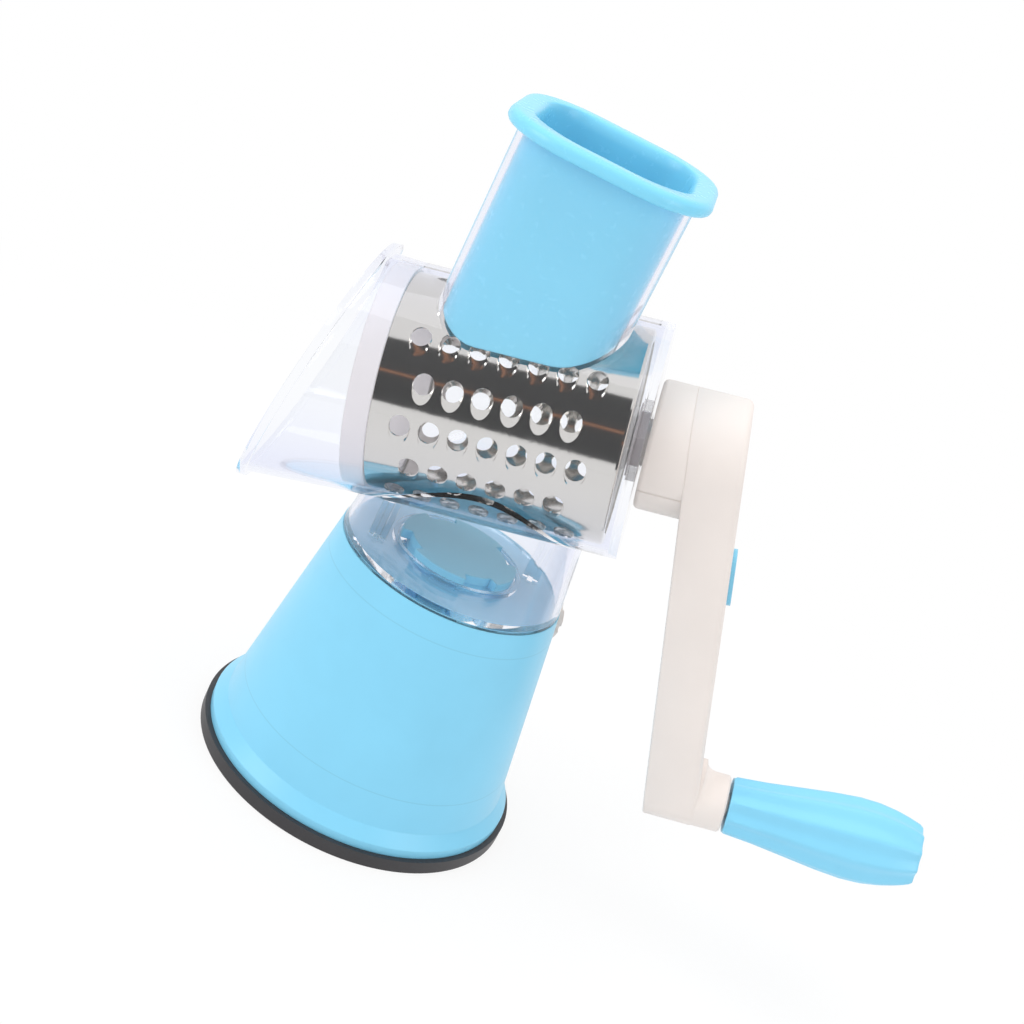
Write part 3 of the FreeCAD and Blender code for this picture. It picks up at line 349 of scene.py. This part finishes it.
def white_surround(level):
    """The world: white as background, softer as light on the object."""
    world = bpy.data.worlds.new("white surround")
    bpy.context.scene.world = world
    made = Finish("white surround", world)
    seen = made.node("ShaderNodeBackground", None, {"Color": rgba(PURE_WHITE), "Strength": 1.0})
    light = made.node("ShaderNodeBackground", None, {"Color": rgba(PURE_WHITE), "Strength": level})
    made.finish(made.node("ShaderNodeMixShader", None, {0: background_rays(made), 1: light, 2: seen}),
                "ShaderNodeOutputWorld")


def pale_surface(name, colour, glow):
    """Floor: soft white that camera, metal and clear plastic see as the background, pure white far out."""
    made = Finish(name)
    far = made.node("ShaderNodeMapRange", {"interpolation_type": "SMOOTHSTEP"}, {
        "Value": made.node("ShaderNodeVectorMath", {"operation": "LENGTH"}, {0: made.place()}, "Value"),
        "From Min": 0.16, "From Max": 0.42, "To Min": glow, "To Max": 1.0})
    tone = made.mix(made.noise(30.0), rgba(shaded(colour, 0.995)), rgba(colour))
    matt = made.shader(Base_Color=tone, Roughness=0.9)
    light = made.node("ShaderNodeEmission", None, {"Color": rgba(PURE_WHITE), "Strength": 1.0})
    seen = background_rays(made) * far
    return made.finish(made.node("ShaderNodeMixShader", None, {0: seen, 1: matt, 2: light}))


def plain_card(name, colour):
    """A studio card that only shows in what stands behind the clear plastic's wall."""
    made = Finish(name)
    tone = made.mix(made.noise(3.0), rgba(shaded(colour, 0.9)), rgba(shaded(colour, 1.1)))
    card = made.shader(Base_Color=tone, Roughness=1.0)
    absent = made.node("ShaderNodeBsdfTransparent")
    walls = made.rays("Transmission Depth")
    return made.finish(made.node("ShaderNodeMixShader", None, {0: walls.below(1.5), 1: card, 2: absent}))


def ready(shader):
    """The finished material of a shader."""
    return shader.made.finish(shader)


def finishes():
    """The finish of each slot."""
    blue = ready(moulded_plastic("light blue plastic", LIGHT_BLUE, 0.34))
    shell_blue = ready(moulded_plastic("light blue shell plastic", LIGHT_BLUE, 0.34, seams=SHELL_SEAMS))
    # The pusher's lighter base colour is painted light; its translucent share lets real light through from
    # behind
    thin_blue_painted_lighter = ready(let_light_through(
        moulded_plastic("light blue pusher plastic", LIGHT_BLUE_PAINTED_LIGHTER, 0.26), 0.15, LIGHT_BLUE_GLOW))
    off_white = ready(moulded_plastic("off-white plastic", OFF_WHITE, 0.42))
    plain = ready(moulded_plastic("plain white plastic", PLAIN_WHITE, 0.5))
    ring = ready(let_light_through(moulded_plastic("milky ring plastic", RING_WHITE, 0.30), 0.2, MILKY_GLOW))
    milky = ready(let_light_through(moulded_plastic("milky bush plastic", RING_WHITE, 0.45), 0.5, MILKY_GLOW))
    steel = turned_steel("turned steel", TURNED_STEEL, 0.25)
    return {
        "suction_pad": black_rubber(), "base_shell": shell_blue, "suction_stem": plain, "cam_shaft": steel,
        "suction_knob": off_white, "knob_screw": steel, "stem_guide": plain, "guide_screws": steel,
        "head": clear_plastic(), "shaft_bush": milky, "drum_sleeve": polished_stainless(), "drum_ring": ring,
        "drum_hub": plain, "pusher": thin_blue_painted_lighter, "crank_arm": off_white, "crank_back": off_white,
        "drive_shaft": turned_steel("satin steel", SATIN_STEEL, 0.50), "hub_screw": steel,
        "release_button": blue, "button_spring": steel,
        "grip_spindle": steel, "grip": blue, "grip_cap": blue}


def dress(coats):
    """Gives each node its finish."""
    for name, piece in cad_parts.items():
        for place in piece.material_slots:
            place.material = coats[name]


def on_drum_axis(s, y, w):
    """A point given along the drum axis, in metres in the object's frame."""
    x = s * math.cos(TILT) - w * math.sin(TILT)
    z = AXIS_HEIGHT + s * math.sin(TILT) + w * math.cos(TILT)
    return Vector((x, y, z)) * MILLIMETRE


class Skin:
    """Collects points and faces of one piece; points that fall together are joined at the end."""

    def __init__(self):
        self.points = []
        self.faces = []

    def ring(self, points):
        """Adds a row of points and gives back their numbers."""
        first = len(self.points)
        self.points.extend(points)
        return list(range(first, len(self.points)))

    def band(self, near, far, closed=True):
        """Faces between two rows with as many points each."""
        count = len(near)
        for k in range(count if closed else count - 1):
            following = (k + 1) % count
            self.faces.append((near[k], near[following], far[following], far[k]))

    def rows(self, rows, closed=True):
        """Faces between each row and the next."""
        numbered = [self.ring(row) for row in rows]
        for near, far in zip(numbered, numbered[1:]):
            self.band(near, far, closed)
        return numbered

    def piece(self, name, body, slot_name, nodes, coat, crease):
        """Makes the piece, joins points that fall together and lets it stand for its CAD nodes."""
        mesh = bpy.data.meshes.new(name)
        mesh.from_pydata(self.points, [], self.faces)
        form = bmesh.new()
        form.from_mesh(mesh)
        bmesh.ops.remove_doubles(form, verts=form.verts, dist=0.02 * MILLIMETRE)
        bmesh.ops.recalc_face_normals(form, faces=form.faces)
        form.to_mesh(mesh)
        form.free()
        for face in mesh.polygons:
            face.use_smooth = True
        mesh.set_sharp_from_angle(angle=math.radians(crease))
        mesh.materials.append(coat)
        thing = bpy.data.objects.new(name, mesh)
        bpy.context.collection.objects.link(thing)
        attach(thing, body)
        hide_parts(*nodes)


def drum_point(s, t, lift):
    """A point of the drum's skin: s along the axis, t round it from the front, lift off the sheet."""
    angle = t / DRUM_RADIUS
    radius = DRUM_RADIUS + lift
    return on_drum_axis(s, -radius * math.cos(angle), radius * math.sin(angle))


def cell_border(half_s, half_t, steps):
    """Points round a rectangle, the same number on each side."""
    border = []
    corners = [(-half_s, -half_t), (half_s, -half_t), (half_s, half_t), (-half_s, half_t)]
    for k, (s, t) in enumerate(corners):
        next_s, next_t = corners[(k + 1) % 4]
        for step in range(steps):
            share = step / steps
            border.append((s + (next_s - s) * share, t + (next_t - t) * share))
    return border


def lip_reach(s, t):
    """How far out a place is within the lip's drop-shaped outline, which is 1 on the outline."""
    return math.hypot(s / LIP_HALF_WIDTH, t / (LIP_LENGTH if t < 0 else LIP_HALF_WIDTH))


def hole_cell(skin, middle_s, middle_t):
    """One hole with its raised lip, in a rectangle of sheet that meets the next ones."""
    border = cell_border(HOLE_PITCH / 2, math.pi * DRUM_RADIUS / HOLE_ROWS, CELL_STEPS)
    outline = [(s / lip_reach(s, t), t / lip_reach(s, t)) for s, t in border]
    edge = [(HOLE_RADIUS * s / math.hypot(s, t), HOLE_RADIUS * t / math.hypot(s, t)) for s, t in border]
    flat = [border] + [between(border, outline, share) for share in (0.5, 1.0)]
    raised = [between(outline, edge, share) for share in (0.0, 0.35, 0.7, 1.0)]
    faces = [(row, 0.0) for row in flat[:-1] + raised]
    faces += [(row, DRUM_SHEET) for row in (edge, outline, border)]
    skin.rows([[drum_point(middle_s + s, middle_t + t, lip_lift(s, t) - depth) for s, t in row]
               for row, depth in faces])


def lip_lift(s, t):
    """Height of the pressed lip over the sheet: a ramp up to the hole with rounded sides."""
    if t >= 0:
        return 0.0
    side = math.sqrt(max(0.0, 1.0 - lip_reach(s, t) ** 4))
    return LIP_HEIGHT * max(0.0, 1.0 + t / LIP_LENGTH) * side * min(1.0, -t / LIP_RISE)


def between(first, second, share):
    """Points between two rows."""
    return [(a + (c - a) * share, b + (d - b) * share) for (a, b), (c, d) in zip(first, second)]


def spread(low, high, count):
    """Evenly spaced numbers, both ends included."""
    return [low + (high - low) * k / count for k in range(count + 1)]


def plain_sheet(skin, low, high, count, middle_t):
    """A plain rectangle of the drum's sheet beside the holes."""
    half_t = math.pi * DRUM_RADIUS / HOLE_ROWS
    heights = spread(middle_t - half_t, middle_t + half_t, CELL_STEPS)
    for lift in (0.0, -DRUM_SHEET):
        skin.rows([[drum_point(s, t, lift) for t in heights] for s in spread(low, high, count)], closed=False)


def drum_sleeve(coat):
    """Polished grating sleeve: staggered rows of round holes, each with its drop-shaped raised lip."""
    skin = Skin()
    half = HOLE_PITCH / 2
    start = HOLE_FIRST - half
    finish_at = start + HOLES_LONG_ROW * HOLE_PITCH
    for row in range(HOLE_ROWS):
        middle_t = math.radians(FIRST_ROW_ANGLE + 360.0 * row / HOLE_ROWS) * DRUM_RADIUS
        long_row = row % 2 == 0
        count = HOLES_LONG_ROW if long_row else HOLES_LONG_ROW - 1
        first = HOLE_FIRST if long_row else HOLE_FIRST + half
        for k in range(count):
            hole_cell(skin, first + k * HOLE_PITCH, middle_t)
        plain_sheet(skin, DRUM_LEFT, start, 3, middle_t)
        plain_sheet(skin, finish_at, DRUM_RIGHT - SLEEVE_BEND, 4, middle_t)
        if not long_row:
            plain_sheet(skin, start, start + half, CELL_STEPS // 2, middle_t)
            plain_sheet(skin, finish_at - half, finish_at, CELL_STEPS // 2, middle_t)
    around = spread(0.0, 2 * math.pi * DRUM_RADIUS, HOLE_ROWS * CELL_STEPS)[:-1]
    around = [t + (math.radians(FIRST_ROW_ANGLE) - math.pi / HOLE_ROWS) * DRUM_RADIUS for t in around]
    turned_in = [(DRUM_RIGHT - SLEEVE_BEND, 0.0), (DRUM_RIGHT - 0.35, -0.25), (DRUM_RIGHT, -0.9),
                 (DRUM_RIGHT, -SLEEVE_RIM), (DRUM_RIGHT - DRUM_SHEET, -SLEEVE_RIM),
                 (DRUM_RIGHT - DRUM_SHEET, -1.1), (DRUM_RIGHT - SLEEVE_BEND, -DRUM_SHEET)]
    skin.rows([[drum_point(s, t, lift) for t in around] for s, lift in turned_in])
    skin.rows([[drum_point(DRUM_LEFT, t, lift) for t in around] for lift in (0.0, -DRUM_SHEET)])
    skin.piece("grating_drum", "drum", "drum_sleeve", ["drum_sleeve"], coat, 9.0)


def rounded_row(half_x, half_y, corner, height):
    """Points round a rounded rectangle about the chute's middle; the height may depend on the place."""
    row = []
    for cx, cy, begin in ((1, 1, 0), (-1, 1, 90), (-1, -1, 180), (1, -1, 270)):
        for step in range(CORNER_STEPS + 1):
            angle = math.radians(begin + 90.0 * step / CORNER_STEPS)
            x = CHUTE_X + cx * (half_x - corner) + corner * math.cos(angle)
            y = cy * (half_y - corner) + corner * math.sin(angle)
            row.append(Vector((x, y, height(x, y) if callable(height) else height)) * MILLIMETRE)
    return row


def over_drum(radius):
    """Height of a cylinder about the drum axis above each place."""
    def height(x, y):
        return AXIS_HEIGHT + (x * math.sin(TILT) + math.sqrt(radius * radius - y * y)) / math.cos(TILT)
    return height


def quarter(start, end, steps=5, bulge_first=True):
    """A quarter ellipse between two (size, height) places."""
    places = []
    for step in range(steps + 1):
        angle = math.pi / 2 * step / steps
        across = math.sin(angle) if bulge_first else 1.0 - math.cos(angle)
        along = 1.0 - math.cos(angle) if bulge_first else math.sin(angle)
        places.append((start[0] + (end[0] - start[0]) * across, start[1] + (end[1] - start[1]) * along))
    return places


def pusher(coat):
    """Hollow blue pusher: cup with a floor that follows the drum, softly rounded rim and flared mouth."""
    inner_x = CUP_HALF_X - CUP_WALL
    inner_y = CUP_HALF_Y - CUP_WALL
    inner_corner = CUP_CORNER - CUP_WALL
    skin = Skin()
    underside = over_drum(DRUM_RADIUS + CUP_DRUM_GAP)
    floor = over_drum(DRUM_RADIUS + CUP_DRUM_GAP + CUP_FLOOR)
    rows = []
    for share in FLOOR_SHARES:
        rows.append(rounded_row(CUP_HALF_X * share, CUP_HALF_Y * share, CUP_CORNER * share, underside))
    rows.append(rounded_row(CUP_HALF_X, CUP_HALF_Y, CUP_CORNER, CHUTE_TOP))
    overhang = CUP_RIM_X - CUP_HALF_X
    across, down = CUP_RIM_SHOULDER
    profile = [(overhang - CUP_RIM_LOW_ROUND, CHUTE_TOP)]
    profile += quarter(profile[0], (overhang, CHUTE_TOP + CUP_RIM_LOW_ROUND))
    profile += quarter((overhang, CUP_RIM_TOP - down), (overhang - across, CUP_RIM_TOP), 6, False)
    for size, height in profile:
        corner = CUP_CORNER + (CUP_RIM_CORNER - CUP_CORNER) * size / overhang
        rows.append(rounded_row(CUP_HALF_X + size, CUP_HALF_Y + size, corner, height))
    for size, height in quarter((CUP_MOUTH, CUP_RIM_TOP), (0.0, CUP_RIM_TOP - CUP_MOUTH_DEPTH), 7):
        corner = inner_corner + CUP_MOUTH_CORNER * size
        rows.append(rounded_row(inner_x + size, inner_y + size, corner, height))
    for share in reversed(FLOOR_SHARES):
        rows.append(rounded_row(inner_x * share, inner_y * share, inner_corner * share, floor))
    numbered = skin.rows(rows)
    skin.faces.append(tuple(numbered[0]))
    skin.faces.append(tuple(numbered[-1]))
    skin.piece("hollow_pusher", "pusher_body", "pusher", ["pusher"], coat, 50.0)


def grip_profile(s):
    """Outer radius of the hand grip along its axis: slim neck, long swell, belly and rounded shoulder."""
    places = [(GRIP_START, 9.9), (GRIP_START + 1.0, 10.6), (112.0, 11.5), (124.0, 13.0), (136.0, 14.5),
              (145.0, 15.2), (152.0, 15.0), (159.0, 13.9), (164.5, 12.4), (167.6, 11.3), (GRIP_END, 10.4)]
    for (low, first), (high, second) in zip(places, places[1:]):
        if s <= high:
            share = (s - low) / (high - low)
            return first + (second - first) * share
    return places[-1][1]


def hand_grip(coat):
    """Blue grip with broad shallow flutes that run out over the shoulder to the flat end."""
    skin = Skin()
    around = GRIP_FLUTES * 10
    stations = [GRIP_START, GRIP_START + 0.3, GRIP_START + 1.0] + spread(GRIP_START + 3.0, GRIP_END - 1.2, 34)
    stations += [GRIP_END - 0.6, GRIP_END]
    rows = [grip_row(GRIP_START, GRIP_BORE, 0.0, around)]
    for s in stations:
        neck = min(1.0, (s - GRIP_START) / 1.0)
        rows.append(grip_row(s, grip_profile(s), GRIP_FLUTE_DEPTH * neck, around))
    rows.append(grip_row(GRIP_END, GRIP_END_FACE, 0.0, around))
    rows.append(grip_row(GRIP_END, GRIP_END_MIDDLE, 0.0, around))
    skin.rows(rows)
    skin.piece("fluted_grip", "hand_grip", "grip", ["grip", "grip_cap"], coat, 40.0)


def grip_row(s, radius, depth, around):
    """Points round the grip at one place; flutes are hollows between rounded ridges."""
    row = []
    for k in range(around):
        angle = 2 * math.pi * k / around
        reach = radius - depth * abs(math.cos(GRIP_FLUTES * angle / 2)) ** 1.4
        row.append(on_drum_axis(s, reach * math.sin(angle), reach * math.cos(angle) - GRIP_RADIUS_FROM_AXIS))
    return row


def arm_row(inset, side, depth):
    """Points round the arm's tapered outline, moved in by an inset, on one of its leaning faces."""
    spread_angle = math.asin((HUB_RADIUS - ARM_END_RADIUS) / ARM_LENGTH)
    row = []
    for radius, centre, begin, end in ((HUB_RADIUS, 0.0, -spread_angle, math.pi + spread_angle),
                                       (ARM_END_RADIUS, -ARM_LENGTH, math.pi + spread_angle,
                                        2 * math.pi - spread_angle)):
        for angle in spread(begin, end, HALF_TURN_STEPS):
            w = centre + (radius - inset) * math.sin(angle)
            row.append(on_drum_axis(side + depth - ARM_LEAN * w, (radius - inset) * math.cos(angle), w))
    return row


def button_row(side, depth):
    """Points round the oval opening of the release button, as many as in a row of the arm."""
    row = []
    straight = BUTTON_HALF_LENGTH - BUTTON_HALF_WIDTH
    for centre, begin in ((straight - BUTTON_AT, 0.0), (-straight - BUTTON_AT, math.pi)):
        for angle in spread(begin, begin + math.pi, HALF_TURN_STEPS):
            w = centre + BUTTON_HALF_WIDTH * math.sin(angle)
            row.append(on_drum_axis(side + depth - ARM_LEAN * w, BUTTON_HALF_WIDTH * math.cos(angle), w))
    return row


def crank_cover(coat):
    """Off-white outer half of the crank: softly rounded hollow arm and the stub that it flows into."""
    skin = Skin()
    rows = [button_row(ARM_OUTER, -ARM_WALL), button_row(ARM_OUTER, 0.0)]
    for inset, depth in quarter((ARM_ROUND, 0.0), (0.0, -ARM_ROUND)):
        rows.append(arm_row(inset, ARM_OUTER, depth))
    for inset, depth in ((0.0, 0.7), (0.2, 0.2), (0.7, 0.0), (ARM_WALL, 0.0)):
        rows.append(arm_row(inset, ARM_INNER, depth))
    rows += [arm_row(ARM_WALL, ARM_OUTER, -ARM_WALL), button_row(ARM_OUTER, -ARM_WALL)]
    skin.rows(rows)

    face = ARM_OUTER + ARM_LEAN * ARM_LENGTH
    stations = [(face - 2.0, STUB_RADIUS, STUB_FILLET)]
    for step in range(9):
        out = STUB_FILLET * step / 8
        bulge = STUB_FILLET - math.sqrt(STUB_FILLET ** 2 - (STUB_FILLET - out) ** 2)
        stations.append((face + out, STUB_RADIUS, bulge))
    stations += [(STUB_END - 0.6, STUB_RADIUS, 0.0), (STUB_END, STUB_RADIUS - 0.6, 0.0), (STUB_END, 4.0, 0.0)]
    skin.rows([stub_row(s, radius, bulge) for s, radius, bulge in stations])
    skin.piece("crank_cover", "crank", "crank_arm", ["crank_arm"], coat, 32.0)


def stub_row(s, radius, bulge):
    """Points round the stub; its upper side swells towards the arm."""
    row = []
    for angle in spread(0.0, 2 * math.pi, ROUND_STEPS)[:-1]:
        rise = radius * math.sin(angle) + bulge * max(0.0, math.sin(angle)) ** 1.5
        row.append(on_drum_axis(s, radius * math.cos(angle), rise - GRIP_RADIUS_FROM_AXIS))
    return row


def crank_hub(coat):
    """Off-white inner half of the crank: round hub with its fine parting line, and the arm's back plate."""
    skin = Skin()
    groove = math.radians(-PARTING_ANGLE)
    angles = spread(0.0, 2 * math.pi, HUB_STEPS)[:-1]
    notch = [(groove - PARTING_MOUTH, 0.0), (groove - PARTING_FLOOR, PARTING_DEPTH),
             (groove + PARTING_FLOOR, PARTING_DEPTH), (groove + PARTING_MOUTH, 0.0)]
    places = [(angle, 0.0) for angle in angles if (angle - groove) % (2 * math.pi) > 0.03]
    places = sorted(places + [(angle % (2 * math.pi), depth) for angle, depth in notch])
    rim = HUB_RADIUS - HUB_ROUND
    rows = [[hub_point(s, SHAFT_RADIUS, angle) for angle, depth in places]
            for s in (HUB_START + HUB_SOCKET, HUB_START)]
    for radius, s in [(rim, HUB_START)] + quarter((rim, HUB_START), (HUB_RADIUS, HUB_START + HUB_ROUND)):
        rows.append([hub_point(s, radius - depth, angle) for angle, depth in places])
    side = ARM_INNER + HUB_SINK
    rows.append([hub_point(side - ARM_LEAN * HUB_RADIUS * math.sin(angle), HUB_RADIUS - depth, angle)
                 for angle, depth in places])
    rows.append([hub_point(side, HUB_CORE, angle) for angle, depth in places])
    skin.rows(rows)
    inset = ARM_WALL + BACK_PLATE_GAP
    plate = skin.rows([arm_row(inset, ARM_INNER, depth) for depth in (ARM_WALL, BACK_PLATE_GAP)]
                      + [arm_row(inset + BACK_PLATE_GAP, ARM_INNER, 0.0)])
    skin.faces.append(tuple(plate[-1]))
    skin.piece("crank_hub", "crank", "crank_back", ["crank_back"], coat, 32.0)


def hub_point(s, radius, angle):
    """A point round the drum axis; the angle runs from the front upwards."""
    return on_drum_axis(s, -radius * math.cos(angle), radius * math.sin(angle))


def aim(thing, spot, target):
    """Places a lamp or card and turns its face to a target."""
    thing.location = spot
    thing.rotation_euler = (Vector(target) - Vector(spot)).to_track_quat("-Z", "Y").to_euler()


def softbox(name, spot, target, width, height, power):
    """A soft rectangular lamp."""
    lamp = bpy.data.lights.new(name, "AREA")
    lamp.shape = "RECTANGLE"
    lamp.size = width
    lamp.size_y = height
    lamp.energy = power
    thing = bpy.data.objects.new(name, lamp)
    bpy.context.collection.objects.link(thing)
    aim(thing, spot, target)
    return thing


def flat_sheet(name, width, height, material):
    """A flat rectangle for the table or a card."""
    mesh = bpy.data.meshes.new(name)
    x = width / 2
    y = height / 2
    mesh.from_pydata([(-x, -y, 0), (x, -y, 0), (x, y, 0), (-x, y, 0)], [], [(0, 1, 2, 3)])
    mesh.materials.append(material)
    thing = bpy.data.objects.new(name, mesh)
    bpy.context.collection.objects.link(thing)
    return thing


def only_in_reflections(thing):
    """Leaves a card out of everything but mirror reflections."""
    thing.visible_camera = False
    thing.visible_diffuse = False
    thing.visible_shadow = False
    thing.visible_transmission = False


def studio():
    """White table, white surround, soft boxes above and beside, and the dark room in front."""
    floor = flat_sheet("table", 8.0, 8.0, pale_surface("white table", TABLE_WHITE, 0.85))
    floor.location = (0, 0, -0.0002)
    white_surround(0.62)

    target = (0.0, 0.0, 0.14)
    overhead = softbox("overhead softbox", (-0.1, 0.15, 1.3), target, 1.2, 1.0, 9.0)
    overhead.visible_glossy = False
    softbox("left softbox", (-1.1, -0.7, 0.7), target, 0.8, 0.9, 6.0)
    softbox("right softbox", (1.1, -0.6, 0.6), target, 0.6, 0.9, 3.5)

    card = flat_sheet("dark room card", 3.2, 1.5, plain_card("dark room", DARK_ROOM))
    aim(card, (0.0, -0.9, 0.755), (0.0, 0.0, 0.755))
    only_in_reflections(card)
    strip = flat_sheet("table edge strip", 2.4, 0.04, plain_card("brown table edge", BROWN_EDGE))
    aim(strip, (0.0, -0.89, 0.50), (0.0, 0.0, 0.50))
    only_in_reflections(strip)


def photo_camera():
    """The camera at the photograph's place, with its roll."""
    azimuth = math.radians(CAMERA_AZIMUTH)
    elevation = math.radians(CAMERA_ELEVATION)
    roll = math.radians(CAMERA_ROLL)
    back = Vector((math.sin(azimuth) * math.cos(elevation), -math.cos(azimuth) * math.cos(elevation),
                   math.sin(elevation)))
    level = Vector((math.cos(azimuth), math.sin(azimuth), 0.0))
    up = back.cross(level)
    right = level * math.cos(roll) + up * math.sin(roll)
    above = up * math.cos(roll) - level * math.sin(roll)
    spot = CAMERA_TARGET + back * CAMERA_DISTANCE - right * CAMERA_SHIFT[0] - above * CAMERA_SHIFT[1]
    lens = bpy.data.cameras.new("photo camera")
    lens.sensor_width = SENSOR
    lens.lens = SENSOR * CAMERA_FOCAL_PIXELS / IMAGE_SIZE
    thing = bpy.data.objects.new("photo camera", lens)
    bpy.context.collection.objects.link(thing)
    turn = Matrix((right, above, back)).transposed().to_4x4()
    thing.matrix_world = Matrix.Translation(spot * MILLIMETRE) @ turn
    bpy.context.scene.camera = thing


coats = finishes()
dress(coats)
drum_sleeve(coats["drum_sleeve"])
pusher(coats["pusher"])
hand_grip(coats["grip"])
crank_cover(coats["crank_arm"])
crank_hub(coats["crank_back"])
studio()
photo_camera()
bpy.context.scene.view_settings.view_transform = "Standard"
